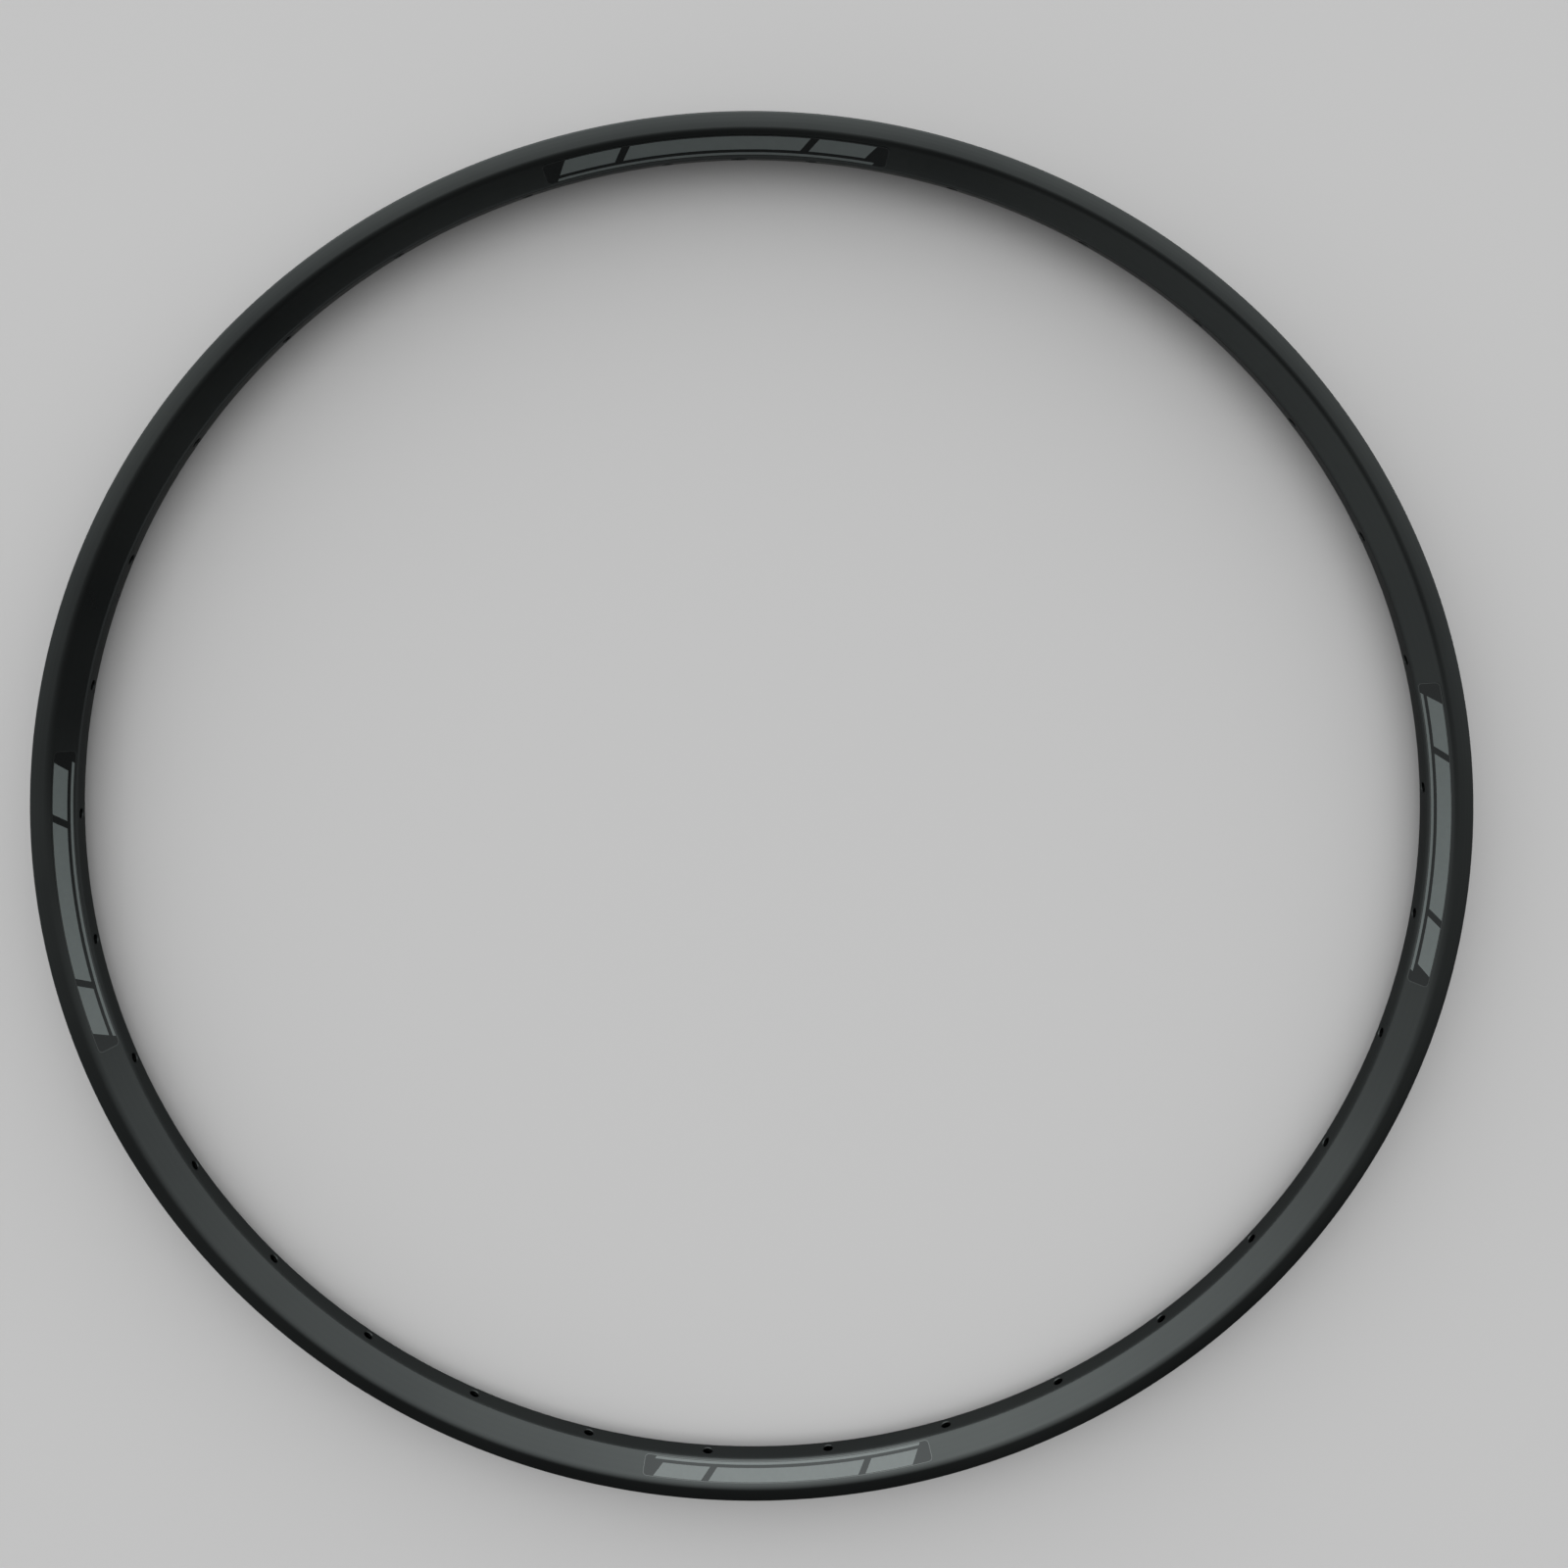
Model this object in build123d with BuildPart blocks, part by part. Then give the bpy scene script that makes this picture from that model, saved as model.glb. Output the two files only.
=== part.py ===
from build123d import *
from math import atan2, degrees, hypot, radians, tan
import os

# A double-walled bicycle rim: one hollow aluminium section rolled into a ring and joined flush.
# The wheel's axis is Z and the origin is the wheel's centre, in the rim's middle plane.
# All lengths are in millimetres and all angles in degrees. The side with the decals faces +Z.

# Ring and outer section
bead_seat_diameter = 622.0
flange_height = 6.0
outer_width = 30.0
rim_depth = 17.0
shoulder_depth = 7.5
bed_width = 10.0

# Walls of the section
flange_wall = 1.8
bridge_wall = 1.0
side_wall = 1.1
bed_wall = 1.8

# Tyre side of the section
hook_reach = 0.8
hook_height = 2.4
seat_width = 4.6
well_depth = 3.5
well_width = 11.0

# Rounded corners of the section
lip_round = 0.7
hook_round = 0.4
seat_round = 0.8
well_round = 1.0
shoulder_round = 4.0
bed_round = 3.0
chamber_round = 0.8

# Holes
spoke_count = 32
spoke_hole_diameter = 4.5
access_hole_diameter = 9.0
valve_hole_diameter = 6.5
valve_angle = 91.0

# Decals, on the sloping wall of the +Z side
decal_sides = ("top", "left", "bottom", "right")
decal_lead = 1.8
decal_length = 140.0
decal_margin = 0.3
decal_thickness = 0.15
decal_glue = 0.2
decal_corner = 2.0

# Radii and half widths worked out from the driving dimensions
seat_radius = bead_seat_diameter / 2
lip_radius = seat_radius + flange_height
hook_radius = lip_radius - hook_height
shoulder_radius = lip_radius - shoulder_depth
bed_radius = lip_radius - rim_depth
well_radius = seat_radius - well_depth
half_width = outer_width / 2
half_bed = bed_width / 2
half_well = well_width / 2
flange_inside = half_width - flange_wall
hook_inside = flange_inside - hook_reach
seat_edge = flange_inside - seat_width

# The sloping wall runs from the shoulder in to the spoke bed
slope_fall = shoulder_radius - bed_radius
slope_run = half_width - half_bed
slope_length = hypot(slope_fall, slope_run)
slope_angle = degrees(atan2(slope_run, slope_fall))

# The hollow chamber lies between the bridge, the sloping walls and the spoke bed
chamber_floor = bed_radius + bed_wall
chamber_roof = well_radius - bridge_wall
chamber_eaves = seat_radius - bridge_wall
chamber_middle = (chamber_floor + chamber_roof) / 2
bridge_angle = degrees(atan2(well_depth, seat_edge - half_well))
bridge_shift = bridge_wall * tan(radians(bridge_angle / 2))

# Spoke holes start half a pitch from the valve hole
spoke_pitch = 360.0 / spoke_count
first_spoke_angle = valve_angle + spoke_pitch / 2
decal_pitch = 360.0 / len(decal_sides)


def chamber_side(radius):
    """Half width of the chamber at this radius, one wall inside the sloping side."""
    outside = half_bed + (radius - bed_radius) * slope_run / slope_fall
    return outside - side_wall * slope_length / slope_fall


def on_slope(along, above):
    """Radius and height of a point this far down the slope from the shoulder and this far above it."""
    radius = shoulder_radius - (along * slope_fall + above * slope_run) / slope_length
    height = half_width - (along * slope_run - above * slope_fall) / slope_length
    return radius, height


# Rim: half of the section and of its chamber, mirrored across the middle plane and revolved
with BuildPart() as rim:
    with BuildSketch(Plane.XZ):
        with BuildLine():
            outline = FilletPolyline(
                (well_radius, 0),
                (well_radius, half_well),
                (seat_radius, seat_edge),
                (seat_radius, flange_inside),
                (hook_radius, flange_inside),
                (hook_radius + hook_reach, hook_inside),
                (lip_radius, hook_inside),
                (lip_radius, half_width),
                (shoulder_radius, half_width),
                (bed_radius, half_bed),
                (bed_radius, 0),
                radius=[
                    well_round,
                    seat_round,
                    seat_round,
                    hook_round,
                    hook_round,
                    lip_round,
                    lip_round,
                    shoulder_round,
                    bed_round,
                ],
            )
            Line(outline @ 1, outline @ 0)
        make_face()
        with BuildLine():
            chamber = FilletPolyline(
                (chamber_roof, 0),
                (chamber_roof, half_well + bridge_shift),
                (chamber_eaves, seat_edge + bridge_shift),
                (chamber_eaves, chamber_side(chamber_eaves)),
                (chamber_floor, chamber_side(chamber_floor)),
                (chamber_floor, 0),
                radius=chamber_round,
            )
            Line(chamber @ 1, chamber @ 0)
        make_face(mode=Mode.SUBTRACT)
        mirror(about=Plane.XZ)
    revolve(axis=Axis.Z)
    # Spoke holes go through the spoke bed, and nipple access holes through the bridge above them
    with PolarLocations(chamber_middle, spoke_count, start_angle=first_spoke_angle):
        Cylinder(
            spoke_hole_diameter / 2,
            rim_depth,
            rotation=(0, -90, 0),
            align=(Align.CENTER, Align.CENTER, Align.MIN),
            mode=Mode.SUBTRACT,
        )
        Cylinder(
            access_hole_diameter / 2,
            rim_depth,
            rotation=(0, 90, 0),
            align=(Align.CENTER, Align.CENTER, Align.MIN),
            mode=Mode.SUBTRACT,
        )
    # The valve hole goes through both walls
    with PolarLocations(chamber_middle, 1, start_angle=valve_angle):
        Cylinder(valve_hole_diameter / 2, 2 * rim_depth, rotation=(0, 90, 0), mode=Mode.SUBTRACT)

# Decals: thin strips with rounded corners on the flat of the sloping wall, between its two rounds.
# The first is centred a little past the valve hole, and the others follow at even steps.
decal_start = shoulder_round * tan(radians(slope_angle / 2)) + decal_margin
decal_end = slope_length - bed_round * tan(radians((90 - slope_angle) / 2)) - decal_margin
decal_radius = on_slope((decal_start + decal_end) / 2, 0)[0]
decal_arc = degrees(decal_length / decal_radius)

os.makedirs("parts", exist_ok=True)
rim.part.label = "rim"
export_step(rim.part, "parts/rim.step")

for turn, side in enumerate(decal_sides):
    start_angle = valve_angle + decal_lead + turn * decal_pitch - decal_arc / 2
    with BuildPart() as decal:
        with BuildSketch(Plane.XZ.rotated((0, 0, start_angle))):
            with BuildLine():
                Polyline(
                    on_slope(decal_start, decal_glue),
                    on_slope(decal_end, decal_glue),
                    on_slope(decal_end, decal_glue + decal_thickness),
                    on_slope(decal_start, decal_glue + decal_thickness),
                    close=True,
                )
            make_face()
        revolve(axis=Axis.Z, revolution_arc=decal_arc)
        corners = decal.edges().filter_by(GeomType.LINE).filter_by(
            lambda edge: edge.length < 2 * decal_thickness
        )
        fillet(corners, decal_corner)
    decal.part.label = "decal_" + side
    export_step(decal.part, "parts/decal_" + side + ".step")
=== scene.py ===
# %% [markdown]
# # A bicycle rim on a studio floor
# A rim like this starts as a long hollow aluminium bar with the whole cross-section already in it.
# The bar is rolled into a ring, its ends are joined flush, holes are drilled, and the ring is blasted
# and anodised dark. This lesson builds the ring the same way: one section, one turn, then the drill.
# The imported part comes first, because every piece here has to sit where its solid sits.

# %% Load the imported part
from math import atan2, ceil, cos, hypot, pi, radians, sin, tan

import bmesh
import bpy
from mathutils import Matrix, Vector


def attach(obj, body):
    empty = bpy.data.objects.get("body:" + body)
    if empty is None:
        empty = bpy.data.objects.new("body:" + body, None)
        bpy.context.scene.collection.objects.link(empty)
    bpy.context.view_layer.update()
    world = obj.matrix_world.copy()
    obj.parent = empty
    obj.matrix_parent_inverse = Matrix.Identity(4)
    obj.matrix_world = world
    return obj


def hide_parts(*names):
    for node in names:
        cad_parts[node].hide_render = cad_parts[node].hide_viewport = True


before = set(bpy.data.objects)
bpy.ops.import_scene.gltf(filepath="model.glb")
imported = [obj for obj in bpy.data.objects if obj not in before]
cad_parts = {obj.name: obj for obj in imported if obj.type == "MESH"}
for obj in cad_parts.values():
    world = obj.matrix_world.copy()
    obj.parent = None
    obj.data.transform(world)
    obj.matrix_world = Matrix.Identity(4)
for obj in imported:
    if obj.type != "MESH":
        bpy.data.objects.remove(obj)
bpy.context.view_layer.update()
mm = 0.001
print("nodes:", sorted(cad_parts))

# %% [markdown]
# ## The sizes that the ring is made from
# The wheel's axis is Z and the origin is the wheel's centre. A tyre sits on the bead seats, so their
# radius is the size that everything else hangs on. The lip stands outside the seat and the spoke bed
# lies inside it. The corners could be typed in as coordinates, but then one change of size would mean
# many. So a few sizes are written once, in millimetres, and the rest is worked out from them.

# %% Ring sizes
bead_seat_diameter = 622 * mm
flange_height = 6 * mm
rim_depth = 17 * mm
shoulder_depth = 7.5 * mm
outer_width = 30 * mm
bed_width = 10 * mm
flange_wall = 1.8 * mm
hook_reach = 0.8 * mm
hook_height = 2.4 * mm
seat_width = 4.6 * mm
well_depth = 3.5 * mm
well_width = 11 * mm
print("bead seat diameter in mm:", round(bead_seat_diameter / mm, 1))

# %% Radii and half widths
seat_radius = bead_seat_diameter / 2
lip_radius = seat_radius + flange_height
hook_radius = lip_radius - hook_height
shoulder_radius = lip_radius - shoulder_depth
bed_radius = lip_radius - rim_depth
well_radius = seat_radius - well_depth
half_width = outer_width / 2
half_bed = bed_width / 2
half_well = well_width / 2
flange_inside = half_width - flange_wall
hook_inside = flange_inside - hook_reach
seat_edge = flange_inside - seat_width
around = Vector((0, 0, 1))
hub = Vector((0, 0, 0))
print("outside diameter in mm:", round(2 * lip_radius / mm, 1))

# %% [markdown]
# ## The cross-section
# Half of the section is a short list of corners: the tyre well, the bead seat, the hooked flange, the
# shoulder and the spoke bed. Each corner has its own round, small at the hook, large at the shoulder.
# The other half is the same list read backwards with its heights turned over. The outline could be
# drawn as a curve, but here a vertex bevel rounds each corner, so a corner stays one line that is
# quick to change.

# %% Draw a section with rounded corners
round_step = 0.6 * mm
fewest_steps = 2


def rounded_section(corners):
    """A closed outline in the XZ plane from corners of (radius, height, round)."""
    outline = bmesh.new()
    points = [outline.verts.new((radius, 0, height)) for radius, height, _ in corners]
    outline.faces.new(points)
    for point, (_, _, corner_round) in zip(points, corners):
        one_side, other_side = (edge.other_vert(point).co - point.co for edge in point.link_edges)
        cut_back = corner_round / tan(one_side.angle(other_side) / 2)
        steps = fewest_steps + ceil(corner_round / round_step)
        bmesh.ops.bevel(outline, geom=[point], offset=cut_back, offset_type="OFFSET",
                        affect="VERTICES", segments=steps, profile=0.5, material=-1)
    bmesh.ops.delete(outline, geom=outline.faces[:], context="FACES_ONLY")
    return outline


def both_halves(half):
    """The corners of half a section, and then the same corners mirrored, in reading order."""
    return half + [(radius, -height, corner_round) for radius, height, corner_round in reversed(half)]


# %% Draw half of the ring's section and mirror it
lip_round = 0.7 * mm
hook_round = 0.4 * mm
seat_round = 0.8 * mm
well_round = 1.0 * mm
shoulder_round = 4.0 * mm
bed_round = 3.0 * mm
ring_corners = both_halves([
    (well_radius, half_well, well_round),
    (seat_radius, seat_edge, seat_round),
    (seat_radius, flange_inside, seat_round),
    (hook_radius, flange_inside, hook_round),
    (hook_radius + hook_reach, hook_inside, hook_round),
    (lip_radius, hook_inside, lip_round),
    (lip_radius, half_width, lip_round),
    (shoulder_radius, half_width, shoulder_round),
    (bed_radius, half_bed, bed_round),
])
ring_section = rounded_section(ring_corners)
print("section corners:", len(ring_corners), "points after rounding:", len(ring_section.verts))

# %% [markdown]
# ## Rolling the section into a ring
# A spin about the wheel's axis does what the rolling mill does. A screw modifier could do the same, but
# a spin leaves a plain mesh that is ready to be drilled. With 512 steps each facet is under 4 mm long,
# so even the long highlights along the flange stay smooth. The hollow chamber is a second, plainer
# section. It can only be seen through the holes, so it gets fewer steps, and its faces are turned to
# look into the hollow, as the inside of a tube does.

# %% Roll a section, and join two shapes
weld_distance = 0.001 * mm


def rolled(section, steps):
    """The section turned once around the wheel's axis and closed."""
    bmesh.ops.spin(section, geom=section.verts[:] + section.edges[:], cent=hub, axis=around,
                   dvec=hub, angle=2 * pi, steps=steps, use_merge=True)
    bmesh.ops.remove_doubles(section, verts=section.verts[:], dist=weld_distance)
    bmesh.ops.recalc_face_normals(section, faces=section.faces[:])
    return section


def joined(shape, addition):
    """The first shape with the faces of the second one added to it."""
    carrier = bpy.data.meshes.new("carrier")
    addition.to_mesh(carrier)
    addition.free()
    shape.from_mesh(carrier)
    bpy.data.meshes.remove(carrier)
    return shape


# %% Sizes of the hollow chamber
bed_wall = 1.8 * mm
bridge_wall = 1.0 * mm
side_wall = 1.1 * mm
chamber_round = 0.8 * mm
slope_fall = shoulder_radius - bed_radius
slope_run = half_width - half_bed
slope_length = hypot(slope_fall, slope_run)
chamber_floor = bed_radius + bed_wall
chamber_roof = well_radius - bridge_wall
chamber_eaves = seat_radius - bridge_wall
bridge_angle = atan2(well_depth, seat_edge - half_well)
bridge_shift = bridge_wall * tan(bridge_angle / 2)


def chamber_side(radius):
    """Half width of the hollow at this radius, one wall inside the sloping side."""
    outside = half_bed + (radius - bed_radius) * slope_run / slope_fall
    return outside - side_wall * slope_length / slope_fall


print("hollow height in mm:", round((chamber_roof - chamber_floor) / mm, 2))

# %% Spin the ring and its hollow chamber
ring_steps = 512
chamber_steps = 128
chamber = rolled(rounded_section(both_halves([
    (chamber_roof, half_well + bridge_shift, chamber_round),
    (chamber_eaves, seat_edge + bridge_shift, chamber_round),
    (chamber_eaves, chamber_side(chamber_eaves), chamber_round),
    (chamber_floor, chamber_side(chamber_floor), chamber_round),
])), chamber_steps)
bmesh.ops.reverse_faces(chamber, faces=chamber.faces[:])
ring = joined(rolled(ring_section, ring_steps), chamber)
print("ring faces:", len(ring.faces))


# %% Put a mesh into the scene
def placed(shape, name):
    """A new object with this shape as its mesh, at the origin."""
    mesh = bpy.data.meshes.new(name)
    shape.to_mesh(mesh)
    shape.free()
    piece = bpy.data.objects.new(name, mesh)
    bpy.context.scene.collection.objects.link(piece)
    return piece


rim_ring = placed(ring, "rim_ring")
print("placed:", rim_ring.name)

# %% [markdown]
# ## Drilling
# Every spoke has two holes in line: a small one through the spoke bed, and a wider one through the
# tyre well, so that a nipple and its tool can go in. One stepped drill makes both at once, with a
# slight flare where it enters and leaves, as a deburring tool does. It is an outline spun about the
# spoke's own line, copied around the wheel. The valve hole has the same drill with no step in it. The
# holes could also be cut into the mesh by hand, but one boolean with all the drills cuts every wall
# at its true place.

# %% Drill sizes
spoke_count = 32
spoke_pitch = 2 * pi / spoke_count
valve_angle = radians(91)
spoke_hole_radius = 2.25 * mm
access_hole_radius = 4.5 * mm
valve_hole_radius = 3.25 * mm
flare = 0.3 * mm
beyond = 3 * mm
chamber_middle = (chamber_floor + chamber_roof) / 2
print("spoke holes:", spoke_count, "one every", round(360 / spoke_count, 2), "degrees")

# %% Turn a drill
hole_steps = 40
along_spoke = Vector((1, 0, 0))


def drill(in_bed, in_well, angle):
    """A cutter with these radii in the spoke bed and the tyre well, at this angle of the wheel."""
    cutter = bmesh.new()
    points = [cutter.verts.new((distance, 0, radius)) for distance, radius in (
        (bed_radius - beyond, 0),
        (bed_radius - beyond, in_bed + flare),
        (bed_radius, in_bed + flare),
        (bed_radius + flare, in_bed),
        (chamber_middle, in_bed),
        (chamber_middle, in_well),
        (well_radius - flare, in_well),
        (well_radius, in_well + flare),
        (lip_radius + beyond, in_well + flare),
        (lip_radius + beyond, 0),
    )]
    for one, other in zip(points, points[1:]):
        cutter.edges.new((one, other))
    bmesh.ops.spin(cutter, geom=cutter.verts[:] + cutter.edges[:], cent=hub, axis=along_spoke,
                   dvec=hub, angle=2 * pi, steps=hole_steps, use_merge=True)
    bmesh.ops.remove_doubles(cutter, verts=cutter.verts[:], dist=weld_distance)
    bmesh.ops.recalc_face_normals(cutter, faces=cutter.faces[:])
    bmesh.ops.rotate(cutter, cent=hub, matrix=Matrix.Rotation(angle, 3, around), verts=cutter.verts[:])
    return cutter


print("facets around a hole:", hole_steps)

# %% Copy the spoke drill around the wheel and add the valve drill
drills = drill(spoke_hole_radius, access_hole_radius, valve_angle + spoke_pitch / 2)
bmesh.ops.spin(drills, geom=drills.verts[:] + drills.edges[:] + drills.faces[:], cent=hub, axis=around,
               dvec=hub, angle=2 * pi - spoke_pitch, steps=spoke_count - 1, use_duplicate=True)
drills = joined(drills, drill(valve_hole_radius, valve_hole_radius, valve_angle))
print("drill faces:", len(drills.faces))

# %% Drill the ring
crease = radians(35)
cutters = placed(drills, "drills")
drilling = rim_ring.modifiers.new("drilling", "BOOLEAN")
drilling.operation = "DIFFERENCE"
drilling.solver = "EXACT"
drilling.object = cutters
drilled = bpy.data.meshes.new_from_object(rim_ring.evaluated_get(bpy.context.evaluated_depsgraph_get()))
rim_ring.modifiers.clear()
solid_mesh = rim_ring.data
rim_ring.data = drilled
bpy.data.meshes.remove(solid_mesh)
bpy.data.objects.remove(cutters)
rim_ring.data.shade_smooth()
rim_ring.data.set_sharp_from_angle(angle=crease)
rim_ring.data.name = "rim_ring"
print("drilled ring faces:", len(rim_ring.data.polygons))

# %% [markdown]
# ## The decals
# Each decal is a strip of clear film with rounded ends, printed in grey, stuck to the sloping wall.
# It could be cut out of the wall's own faces, but a strip of its own has a real thickness and edge.
# It starts flat, as it comes off its sheet, so that its own UV map is a plain ruler along the strip.
# Thin slices across it let it bend smoothly. Then each point is moved to the wall: its length becomes
# an angle around the wheel, and its height a distance down the slope.

# %% Film sizes
film_length = 140 * mm
film_lead = radians(1.8)
film_corner = 2.0 * mm
film_margin = 0.3 * mm
film_thickness = 0.1 * mm
film_lift = 0.2 * mm
slope_angle = atan2(slope_run, slope_fall)
film_top = shoulder_round * tan(slope_angle / 2) + film_margin
film_end = slope_length - bed_round * tan((pi / 2 - slope_angle) / 2) - film_margin
film_height = film_end - film_top
print("film in mm:", round(film_length / mm, 1), "by", round(film_height / mm, 2))


# %% Find a place on the sloping wall
def on_slope(down, above):
    """Radius and height of a point this far down the slope from the shoulder and this far above it."""
    radius = shoulder_radius - (down * slope_fall + above * slope_run) / slope_length
    height = half_width - (down * slope_run - above * slope_fall) / slope_length
    return radius, height


film_radius = on_slope((film_top + film_end) / 2, 0)[0]
print("radius at the middle of the film in mm:", round(film_radius / mm, 2))

# %% Cut, bend and thicken a strip of film
film_slices = 70
film_corner_steps = 8
along_film = Vector((1, 0, 0))


def film_strip(middle_angle):
    """A decal's film, bent onto the sloping wall around this angle of the wheel."""
    strip = bmesh.new()
    bmesh.ops.create_grid(strip, x_segments=1, y_segments=1, size=0.5)
    bmesh.ops.scale(strip, vec=(film_length, film_height, 1), verts=strip.verts[:])
    bmesh.ops.bevel(strip, geom=strip.verts[:], offset=film_corner, offset_type="OFFSET",
                    affect="VERTICES", segments=film_corner_steps, profile=0.5, material=-1)
    for cut in range(1, film_slices):
        place = ((cut / film_slices - 0.5) * film_length, 0, 0)
        bmesh.ops.bisect_plane(strip, geom=strip.verts[:] + strip.edges[:] + strip.faces[:],
                               dist=weld_distance, plane_co=place, plane_no=along_film)
    ruler = strip.loops.layers.uv.new("ruler")
    for face in strip.faces:
        for loop in face.loops:
            loop[ruler].uv = (loop.vert.co.x / film_length + 0.5, loop.vert.co.y / film_height + 0.5)
    for point in strip.verts:
        angle = middle_angle - point.co.x / film_radius
        radius, height = on_slope(film_top + film_height / 2 - point.co.y, film_lift)
        point.co = (radius * cos(angle), radius * sin(angle), height)
    bmesh.ops.recalc_face_normals(strip, faces=strip.faces[:])
    bmesh.ops.reverse_faces(strip, faces=[face for face in strip.faces if face.normal.z < 0])
    bmesh.ops.solidify(strip, geom=strip.faces[:], thickness=film_thickness)
    return strip


print("slices along a film:", film_slices)

# %% Stick the four decals on
film_sides = ("top", "left", "bottom", "right")
film_pitch = 2 * pi / len(film_sides)
films = {}
for turn, side in enumerate(film_sides):
    film = placed(film_strip(valve_angle + film_lead + turn * film_pitch), "decal_film_" + side)
    film.data.shade_smooth()
    film.data.set_sharp_from_angle(angle=crease)
    films["decal_" + side] = film
    print(film.name, "faces:", len(film.data.polygons))

# %% [markdown]
# ## Finishes
# Two finishes cover everything, and both are built from nodes. They could be wired by hand in the node
# editor, but a script can be read and run again. A small helper adds a node, fills its inputs in order
# or by name, and hands back an output, so that each finish reads as a short list.


# %% Helpers that add nodes
def fill(tree, socket, value):
    """Link an output to this socket, or set the socket's own value."""
    if isinstance(value, bpy.types.NodeSocket):
        tree.links.new(value, socket)
    else:
        socket.default_value = value


def node_adder(tree):
    """A function that adds a node to this tree, fills its inputs and hands back one output."""
    def add(kind, *inputs, settings=None, output=0, **named_inputs):
        node = tree.nodes.new(kind)
        for name, value in (settings or {}).items():
            setattr(node, name, value)
        for socket, value in zip(node.inputs, inputs):
            fill(tree, socket, value)
        for name, value in named_inputs.items():
            fill(tree, node.inputs[name], value)
        return node.outputs[output]
    return add


# %% Helpers that start a finish and put it on
def new_finish(name):
    """A new material, with functions that add a node, do a sum, and fill a socket of its shader."""
    finish = bpy.data.materials.new(name)
    finish.use_nodes = True
    tree = finish.node_tree
    shader = tree.nodes["Principled BSDF"]
    add = node_adder(tree)

    def calc(operation, *values):
        return add("ShaderNodeMath", *values, settings={"operation": operation})

    def wire(value, socket):
        fill(tree, shader.inputs[socket], value)

    return finish, add, calc, wire


def dress(piece, finish):
    """Give the whole piece this one finish."""
    piece.data.materials.clear()
    piece.data.materials.append(finish)


# %% [markdown]
# ## Anodised aluminium
# The rim is blasted and then anodised: a dark metal with a satin sheen and a very fine grain. The die
# that the bar was pushed through also leaves faint lines that run all the way around the ring. A noise
# that only reads the distance from the hub and the height gives such lines, because both stay the same
# around the wheel. Wide soft patches change the tone and the sheen a little, as a dye bath does. Dyed
# metal stays dark at flat angles, where a plain one turns into a mirror. So the specular tint, which
# colours those angles, is lowered, and the spoke bed doesn't show the pale floor too brightly.

# %% Read where a point lies on the ring
anodised, add, calc, wire = new_finish("anodised_aluminium")
spot = add("ShaderNodeTexCoord", output="Object")
flat_spot = add("ShaderNodeVectorMath", spot, (1, 1, 0), settings={"operation": "MULTIPLY"})
from_hub = add("ShaderNodeVectorMath", flat_spot, settings={"operation": "LENGTH"}, output="Value")
level = add("ShaderNodeSeparateXYZ", spot, output="Z")
across = add("ShaderNodeCombineXYZ", from_hub, level)
print("nodes so far:", len(anodised.node_tree.nodes))

# %% Die lines, grain and patches
line_scale = 1500.0
line_detail = 5.0
grain_scale = 2600.0
grain_detail = 3.0
patch_scale = 9.0
patch_detail = 4.0
die_lines = add("ShaderNodeTexNoise", Vector=across, Scale=line_scale, Detail=line_detail,
                settings={"noise_dimensions": "2D"})
grain = add("ShaderNodeTexNoise", Vector=spot, Scale=grain_scale, Detail=grain_detail)
patches = add("ShaderNodeTexNoise", Vector=spot, Scale=patch_scale, Detail=patch_detail)
print("sizes of lines, grain and patches in mm:",
      [round(1 / (scale * mm), 2) for scale in (line_scale, grain_scale, patch_scale)])

# %% Colour, sheen and surface of the metal
noise_low = 0.3
noise_high = 0.7
line_share = 0.25
darkest = (0.038, 0.042, 0.042, 1)
lightest = (0.048, 0.053, 0.052, 1)
smoothest = 0.27
roughest = 0.33
line_bump = 0.10
grain_bump = 0.12
bump_depth = 0.1 * mm
edge_tint = (0.5, 0.5, 0.5, 1)
tone = add("ShaderNodeValToRGB",
           calc("MULTIPLY_ADD", die_lines, line_share, calc("MULTIPLY", patches, 1 - line_share)))
shades = tone.node.color_ramp.elements
shades[0].position = noise_low
shades[0].color = darkest
shades[1].position = noise_high
shades[1].color = lightest
wire(tone, "Base Color")
wire(add("ShaderNodeMapRange", patches, noise_low, noise_high, smoothest, roughest), "Roughness")
lines = add("ShaderNodeBump", Strength=line_bump, Distance=bump_depth, Height=die_lines)
surface = add("ShaderNodeBump", Strength=grain_bump, Distance=bump_depth, Height=grain, Normal=lines)
wire(surface, "Normal")
wire(1.0, "Metallic")
wire(edge_tint, "Specular Tint")
dress(rim_ring, anodised)
print("finish:", anodised.name, "nodes:", len(anodised.node_tree.nodes))

# %% [markdown]
# ## Printed film
# The decals are clear film with grey ink. Clear film could have a see-through shader, but it lies flat
# on the metal. So its clear parts simply take a dark metal's look, a little smoother than the rim's,
# and a thin painted highlight makes its cut edge a little lighter. The print is plain: a wide stripe
# with two leaning gaps in it, and a thin stripe along its lower side. The ruler along each strip says
# where the ink lies, in millimetres, so the stripes keep their shape as the film bends.

# %% Measure along and up the film
printed, add, calc, wire = new_finish("decal_film")
length_mm = film_length / mm
height_mm = film_height / mm
lean = 0.6
ruler_spot = add("ShaderNodeUVMap", settings={"uv_map": "ruler"})
along = calc("MULTIPLY", add("ShaderNodeSeparateXYZ", ruler_spot, output="X"), length_mm)
upward = calc("MULTIPLY", add("ShaderNodeSeparateXYZ", ruler_spot, output="Y"), height_mm)
leaning = calc("MULTIPLY_ADD", upward, -lean, along)
print("ruler in mm:", round(length_mm, 1), "along and", round(height_mm, 2), "up")

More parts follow.
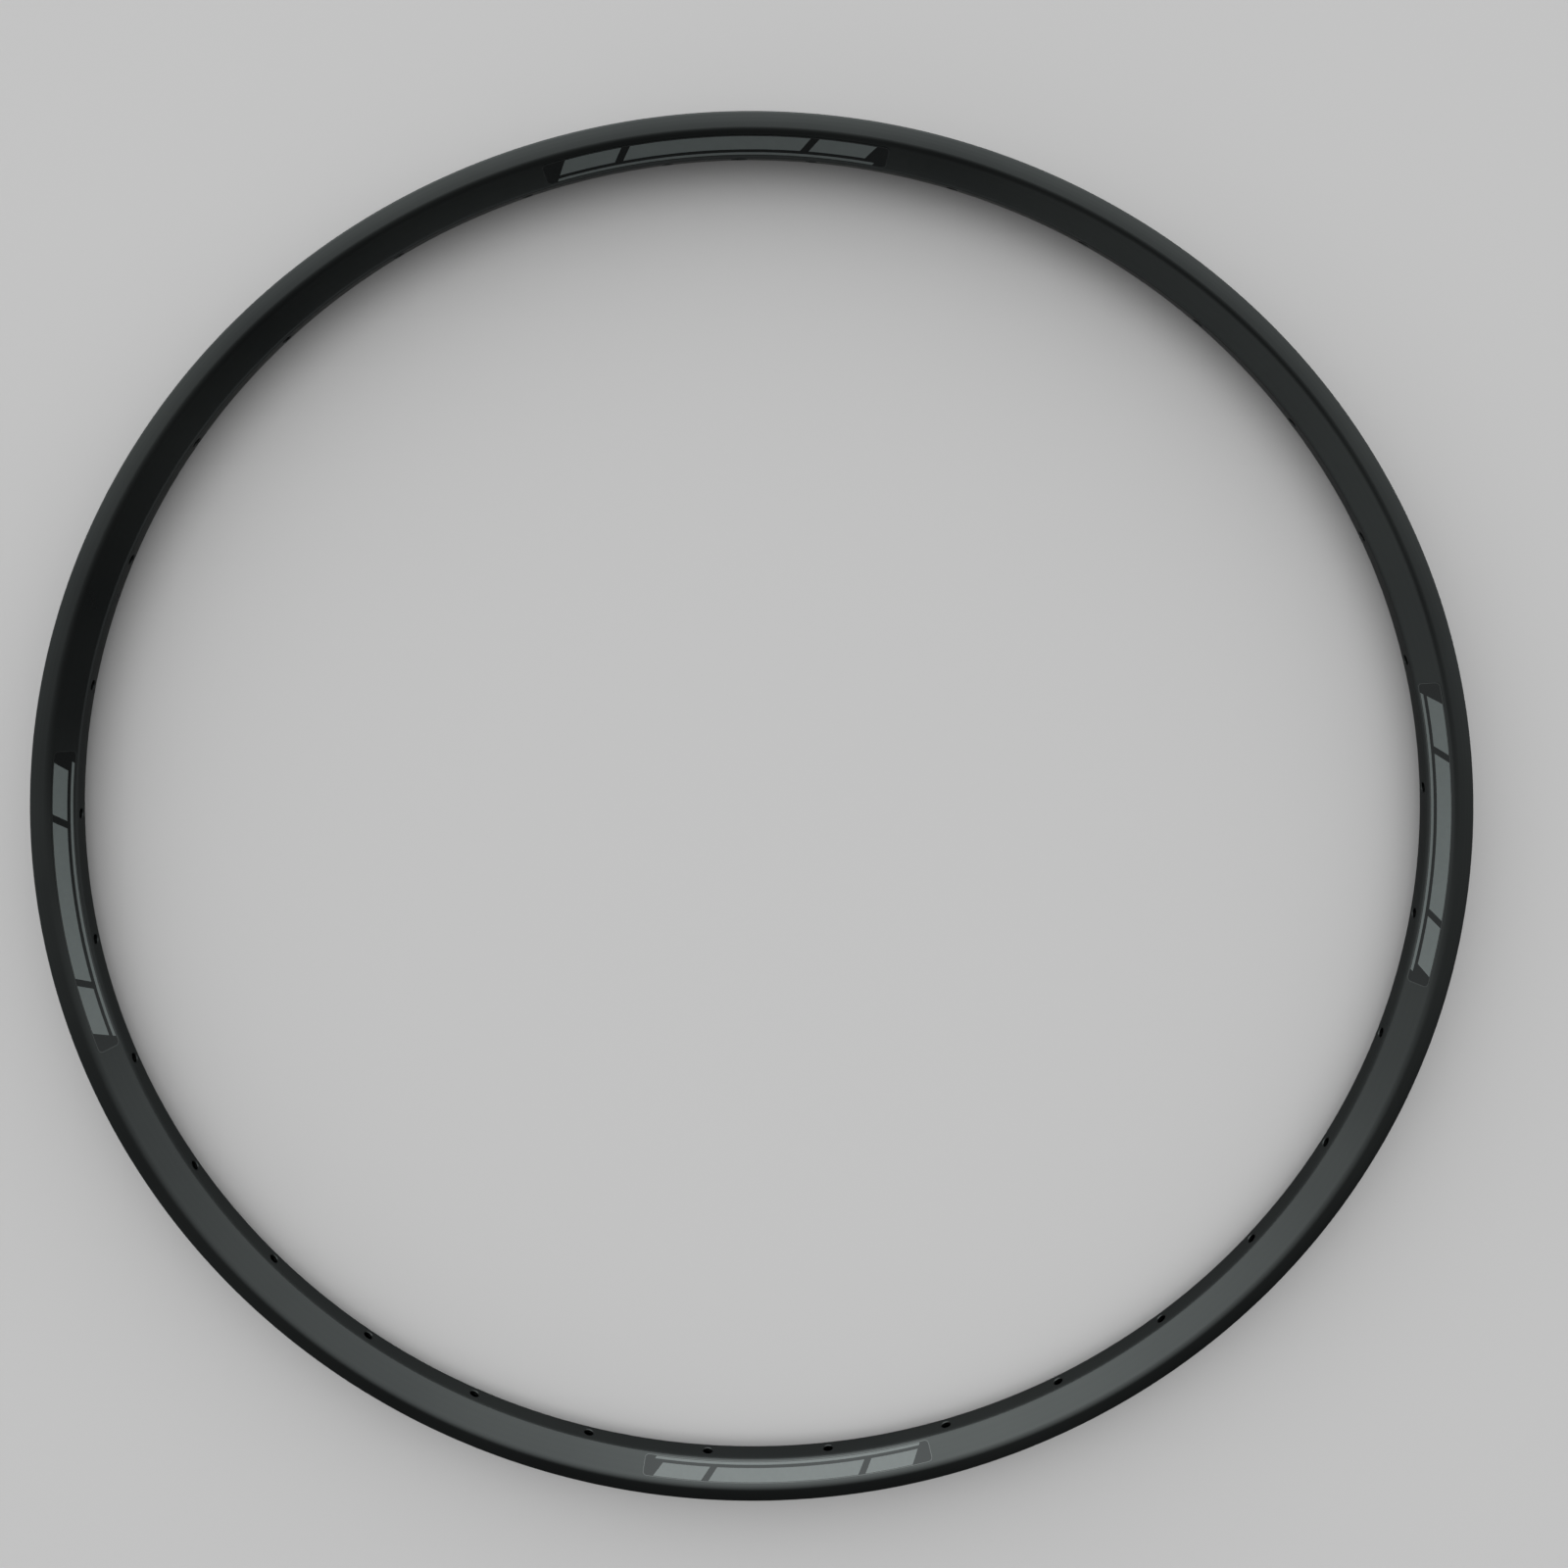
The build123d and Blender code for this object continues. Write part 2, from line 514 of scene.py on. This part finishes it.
# %% Lay out the print, in millimetres
ink_margin = 0.5
thin_width = 1.2
stripe_gap = 1.5
ink_start = 4.0
thin_end = 134.0
piece_lengths = (23.0, 72.0, 23.0)
piece_gap = 3.5
thin_top = ink_margin + thin_width
wide_bottom = thin_top + stripe_gap
wide_top = height_mm - ink_margin


def bar(start, end, low, high):
    """A mask that is 1 inside a leaning bar, in millimetres along and up the film."""
    inside_length = calc("COMPARE", leaning, (start + end) / 2, (end - start) / 2)
    inside_height = calc("COMPARE", upward, (low + high) / 2, (high - low) / 2)
    return calc("MULTIPLY", inside_length, inside_height)


ink = bar(ink_start, thin_end, ink_margin, thin_top)
start = ink_start
for length in piece_lengths:
    ink = calc("MAXIMUM", ink, bar(start, start + length, wide_bottom, wide_top))
    start += length + piece_gap
print("wide stripe in mm:", round(wide_bottom, 2), "to", round(wide_top, 2), "up the film")

# %% Find the film's cut edge, where a highlight is painted
corner_mm = film_corner / mm
highlight_width = 0.25


def beyond_inset(distance, size):
    """How far past the straight part of the film's side this is, in millimetres."""
    from_middle = calc("ABSOLUTE", calc("SUBTRACT", distance, size / 2))
    return calc("MAXIMUM", calc("SUBTRACT", from_middle, size / 2 - corner_mm), 0)


past_end = calc("POWER", beyond_inset(along, length_mm), 2)
past_side = calc("POWER", beyond_inset(upward, height_mm), 2)
to_edge = calc("SQRT", calc("ADD", past_end, past_side))
# A thin band along the film's border, where a lighter painted highlight goes
painted_edge_highlight = calc("GREATER_THAN", to_edge, corner_mm - highlight_width)
print("cut edge in mm:", highlight_width, "wide, with corners of", round(corner_mm, 1))

# %% Blend two colours by a mask
# Places of the colour sockets on a mix node
first_colour = 6
second_colour = 7
blended_colour = 2


def blend(mask, first, second):
    """One colour where the mask is 0 and the other where it is 1."""
    mix = add("ShaderNodeMix", mask, settings={"data_type": "RGBA"}).node
    fill(printed.node_tree, mix.inputs[first_colour], first)
    fill(printed.node_tree, mix.inputs[second_colour], second)
    return mix.outputs[blended_colour]


# %% Colours, sheen and surface of the film
mottle_scale = 400.0
mottle_detail = 4.0
ripple_scale = 700.0
ripple_detail = 2.0
ripple_bump = 0.05
dark_ink = (0.082, 0.098, 0.096, 1)
light_ink = (0.100, 0.118, 0.116, 1)
clear_film = (0.034, 0.037, 0.037, 1)
# The edge colour is a painted highlight on the film's cut edge
film_edge_highlight = (0.085, 0.093, 0.092, 1)
film_roughness = 0.24
ink_roughness = 0.34
spot = add("ShaderNodeTexCoord", output="Object")
mottle = add("ShaderNodeTexNoise", Vector=spot, Scale=mottle_scale, Detail=mottle_detail)
ink_tone = add("ShaderNodeValToRGB", mottle)
ink_shades = ink_tone.node.color_ramp.elements
ink_shades[0].color = dark_ink
ink_shades[1].color = light_ink
# The film is lighter along its cut edge: a painted highlight
film_tone = blend(painted_edge_highlight, clear_film, film_edge_highlight)
wire(blend(ink, film_tone, ink_tone), "Base Color")
wire(add("ShaderNodeMapRange", ink, 0, 1, 1, 0), "Metallic")
wire(add("ShaderNodeMapRange", ink, 0, 1, film_roughness, ink_roughness), "Roughness")
ripple = add("ShaderNodeTexNoise", Vector=spot, Scale=ripple_scale, Detail=ripple_detail)
wire(add("ShaderNodeBump", Strength=ripple_bump, Distance=bump_depth, Height=ripple), "Normal")
for film in films.values():
    dress(film, printed)
print("finish:", printed.name, "nodes:", len(printed.node_tree.nodes))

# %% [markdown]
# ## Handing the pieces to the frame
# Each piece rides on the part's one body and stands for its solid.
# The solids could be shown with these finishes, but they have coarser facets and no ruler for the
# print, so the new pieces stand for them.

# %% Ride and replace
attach(rim_ring, "root")
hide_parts("rim")
for node, film in films.items():
    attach(film, "root")
    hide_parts(node)
print("pieces that ride:", 1 + len(films))

# %% [markdown]
# ## Floor and light
# A rim can't stand by itself, so it lies flat, and the camera looks down at its face. The floor is a
# plain pale disc. The light comes from the world alone: a wide soft glow on the far side, which gives
# the near wall its satin sheen and is a little weaker to the right, a fainter one on the left, and
# little from the near side, so that the far wall stays dark. A glow this far away lights the floor
# evenly, where a lamp would leave a hot spot.

# %% Floor
floor_radius = 40
floor_sides = 96
floor_colour = (0.52, 0.52, 0.52, 1)
floor_roughness = 0.9
floor_shape = bmesh.new()
bmesh.ops.create_circle(floor_shape, cap_ends=True, segments=floor_sides, radius=floor_radius)
bmesh.ops.translate(floor_shape, vec=(0, 0, -half_width), verts=floor_shape.verts[:])
floor = placed(floor_shape, "floor")
pale, *_, wire = new_finish("pale_floor")
wire(floor_colour, "Base Color")
wire(floor_roughness, "Roughness")
dress(floor, pale)
print("floor at a height of", round(-half_width / mm, 1), "mm")

# %% Glow of the far side
near_level = 0.12
far_level = 2.7
glow_start = -0.55
soft = {"interpolation_type": "SMOOTHSTEP"}
world = bpy.data.worlds.new("studio")
world.use_nodes = True
bpy.context.scene.world = world
add = node_adder(world.node_tree)
towards = add("ShaderNodeTexCoord", output="Generated")
far_side = add("ShaderNodeSeparateXYZ", towards, output="Y")
far_glow = add("ShaderNodeMapRange", far_side, glow_start, 1.0, near_level, far_level, settings=soft)
print("light from the near side:", near_level, "and from the far side:", far_level)

# %% Glow on the left and soft shade on the right
left_direction = (-0.75, -0.64, 0.16)
left_start = 0.72
left_level = 0.56
shade_direction = (0.62, 0.62, 0.48)
shade_start = 0.80
shade_level = 0.7


def patch(direction, start, level):
    """A soft round patch of the sky around this direction, at its full level in the middle."""
    nearness = add("ShaderNodeVectorMath", towards, direction,
                   settings={"operation": "DOT_PRODUCT"}, output="Value")
    return add("ShaderNodeMapRange", nearness, start, 1.0, 0, level, settings=soft)


left_glow = patch(left_direction, left_start, left_level)
right_shade = patch(shade_direction, shade_start, shade_level)
glow = add("ShaderNodeMath", far_glow, left_glow, settings={"operation": "ADD"})
strength = add("ShaderNodeMath", glow, right_shade, settings={"operation": "SUBTRACT"})
sky = world.node_tree.nodes["Background"]
sky.inputs["Color"].default_value = (1, 1, 1, 1)
fill(world.node_tree, sky.inputs["Strength"], strength)
print("light added on the left:", left_level, "and taken away on the right:", shade_level)

# %% [markdown]
# ## Camera
# The camera hangs over the far half of the wheel and looks down, slightly towards the near side. It
# could be aimed at the hub by a constraint, but the hub isn't in the middle of the picture, so its
# direction is written out. Its up direction is set from the far side of the floor, because a camera
# that looks almost straight down has no safe up of its own.

# %% Aim the camera
picture_width = 1600
focal_pixels = 1837
sensor_width = 36
camera_place = (0.0053, 0.230, 0.776)
looking = Vector((0.0097, -0.2416, -0.9703)).normalized()
to_right = looking.cross(Vector((0, 1, 0))).normalized()
to_top = to_right.cross(looking)
view = bpy.data.cameras.new("camera")
view.sensor_fit = "HORIZONTAL"
view.sensor_width = sensor_width
view.lens = sensor_width * focal_pixels / picture_width
camera = bpy.data.objects.new("camera", view)
camera.location = camera_place
camera.rotation_euler = Matrix((to_right, to_top, -looking)).transposed().to_euler()
bpy.context.scene.collection.objects.link(camera)
bpy.context.scene.camera = camera
bpy.context.scene.view_settings.view_transform = "Standard"
print("lens in mm:", round(view.lens, 2))
